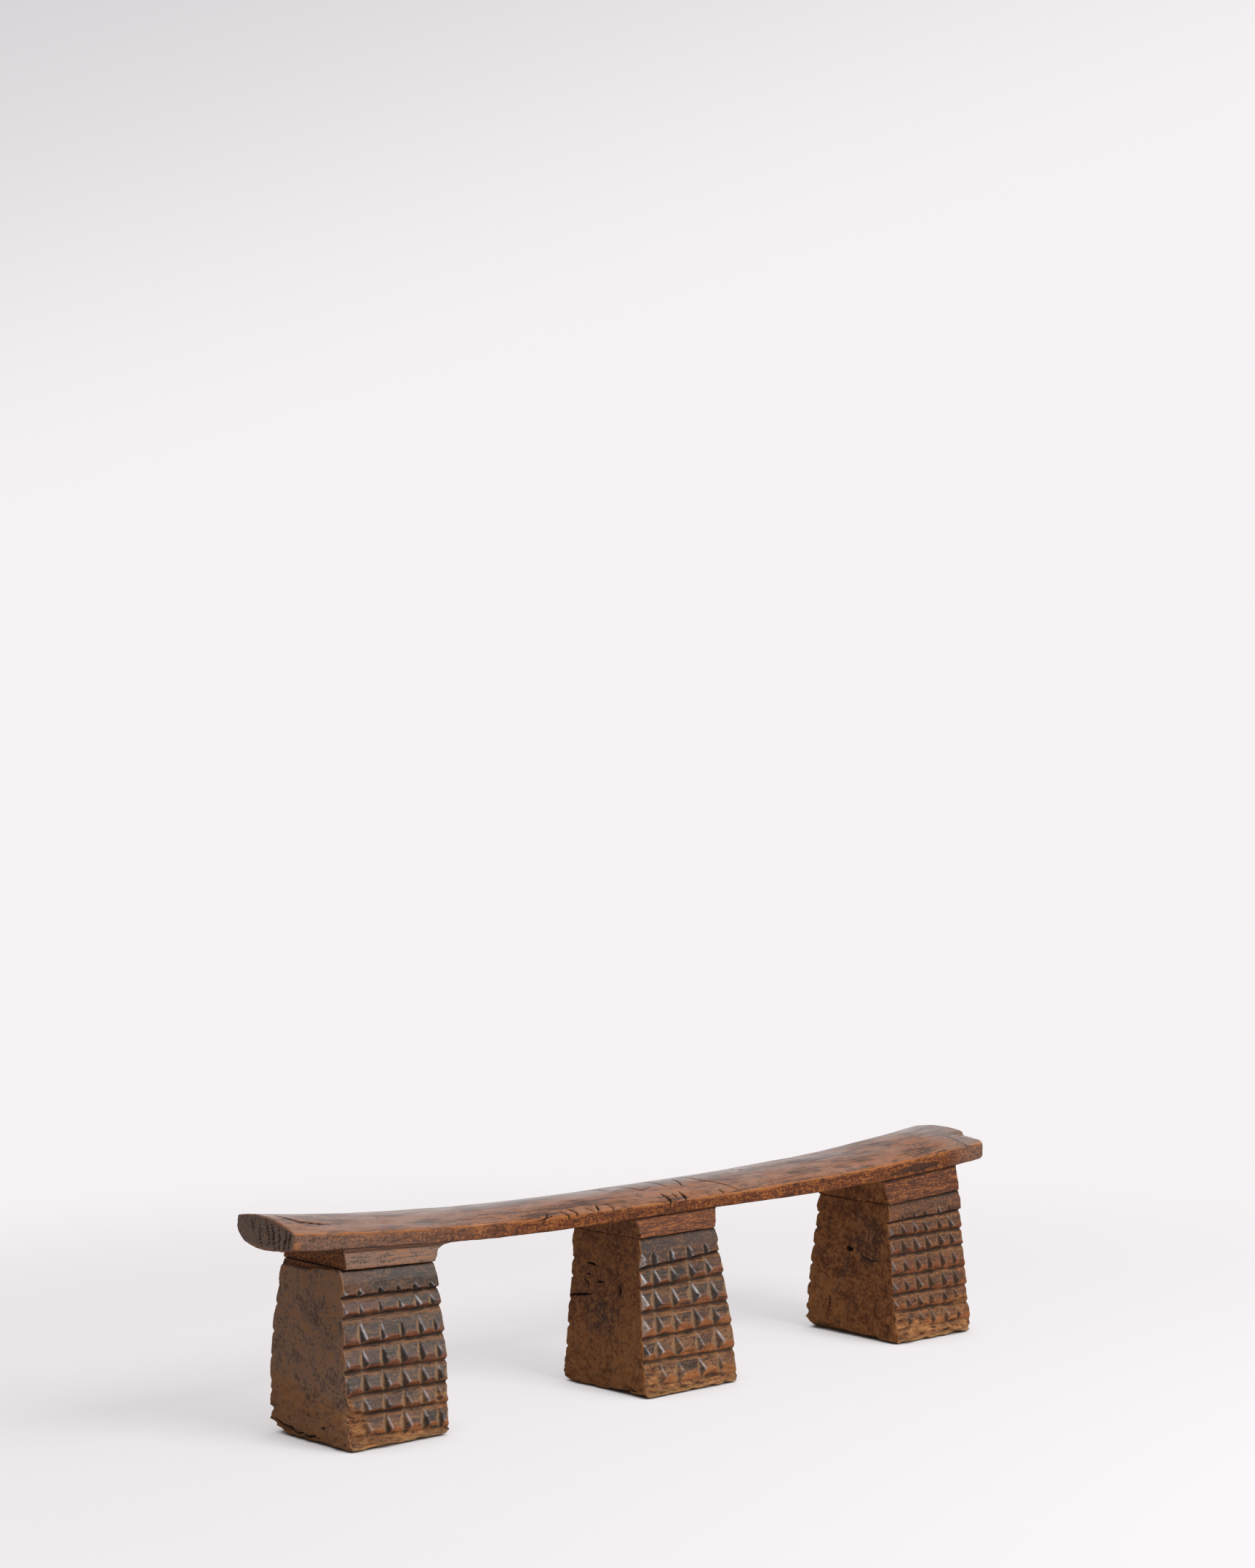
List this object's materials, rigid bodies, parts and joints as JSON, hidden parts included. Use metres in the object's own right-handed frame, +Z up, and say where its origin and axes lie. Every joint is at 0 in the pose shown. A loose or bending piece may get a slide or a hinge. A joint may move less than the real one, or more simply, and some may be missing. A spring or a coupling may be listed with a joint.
{
  "type": "carved wooden headrest",
  "caption": "Long low carved wooden headrest: a saddle-shaped neck beam on tapering block legs with chip-carved front and back faces.",
  "frame": {"origin": "centre of the bounding box on the floor under the middle leg", "axes": "+Z up, X along the beam with +X to the right as seen from the front, +Y from the front to the back"},
  "size_m": [0.61, 0.1006, 0.142],
  "materials": {
    "beam_wood": "handled satin, red-brown, with a grey sheen and dark stains",
    "collar_wood": "smooth, red-brown",
    "leg_wood": "dull dark brown with ochre dust in the grooves and orange wear on the ridges"
  },
  "bodies": {
    "root": {"headrest_beam": "beam_wood", "left_collar": "collar_wood", "left_leg": "leg_wood", "middle_collar": "collar_wood", "middle_leg": "leg_wood", "right_collar": "collar_wood", "right_leg": "leg_wood"}
  },
  "joints": []
}
